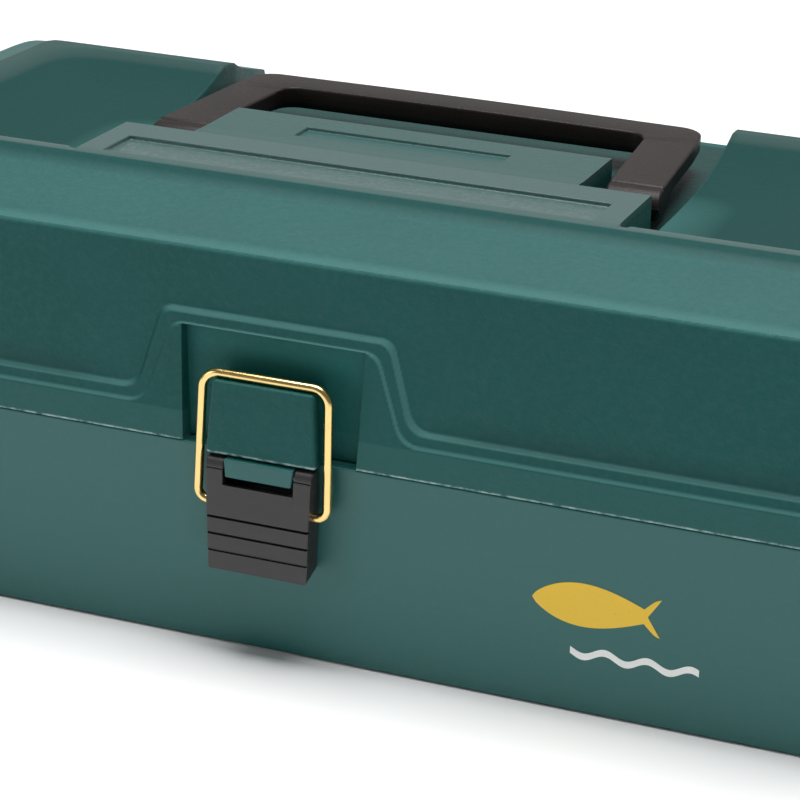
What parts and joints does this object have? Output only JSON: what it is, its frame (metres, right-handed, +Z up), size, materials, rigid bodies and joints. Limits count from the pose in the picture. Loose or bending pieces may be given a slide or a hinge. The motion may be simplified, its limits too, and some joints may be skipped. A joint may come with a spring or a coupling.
{
  "type": "fishing tackle box",
  "caption": "Moulded tackle box with a hinged lid, fold-down carrying handle, wire-bail latch and a divided tray that rises level on side links as the lid opens.",
  "frame": {"origin": "middle of the base's flat underside", "axes": "+X along the box's length, -Y towards the latch, +Z up"},
  "size_m": [0.35, 0.2144, 0.1232],
  "materials": {
    "base_green": "satin moulded polypropylene",
    "lid_green": "fine pebbled moulded plastic",
    "handle_plastic": "fine textured",
    "latch_plastic": "satin",
    "bail_brass": "polished",
    "tray_plastic": "satin",
    "steel": "plated"
  },
  "bodies": {
    "base": {"base_shell": "base_green", "latch_pin": "steel", "hinge_pin_left": "steel", "hinge_pin_right": "steel", "base_rivet_left": "steel", "base_rivet_right": "steel"},
    "lid": {"lid_shell": "lid_green", "handle_pin_left": "steel", "handle_pin_right": "steel", "lid_rivet_left": "steel", "lid_rivet_right": "steel"},
    "handle": {"carry_handle": "handle_plastic"},
    "lever": {"latch_lever": "latch_plastic"},
    "bail": {"latch_bail": "bail_brass"},
    "tray": {"tray": "tray_plastic", "tray_divider_1": "tray_plastic", "tray_divider_2": "tray_plastic", "tray_divider_3": "tray_plastic", "tray_divider_4": "tray_plastic", "tray_divider_5": "tray_plastic", "tray_rivet_left": "steel", "tray_rivet_right": "steel"},
    "links": {"link_arm_left": "latch_plastic", "link_arm_right": "latch_plastic"}
  },
  "joints": [
    {"name": "lid_open", "type": "hinge", "parent": "base", "child": "lid", "pos_m": [0, 0.104, 0.0595], "axis": [-1, 0, 0], "range_deg": [0, 100]},
    {"name": "tray_lift", "type": "hinge", "parent": "lid", "child": "tray", "pos_m": [0, 0.019, 0.0675], "axis": [-1, 0, 0], "range_deg": [-100, 0]},
    {"name": "link_swing", "type": "hinge", "parent": "base", "child": "links", "pos_m": [0, 0.059, 0.0345], "axis": [-1, 0, 0], "range_deg": [0, 100]},
    {"name": "handle_fold", "type": "hinge", "parent": "lid", "child": "handle", "pos_m": [0, -0.003, 0.1154], "axis": [1, 0, 0], "range_deg": [0, 90]},
    {"name": "lever_swing", "type": "hinge", "parent": "base", "child": "lever", "pos_m": [0, -0.1036, 0.0565], "axis": [-1, 0, 0], "range_deg": [0, 88]},
    {"name": "bail_swing", "type": "hinge", "parent": "lever", "child": "bail", "pos_m": [0, -0.1026, 0.0455], "axis": [-1, 0, 0], "range_deg": [-88, 0]}
  ],
  "couplings": [
    {"joint": "tray_lift", "follows": "lid_open", "ratio": -1},
    {"joint": "link_swing", "follows": "lid_open", "ratio": 1},
    {"joint": "bail_swing", "follows": "lever_swing", "ratio": -1}
  ]
}
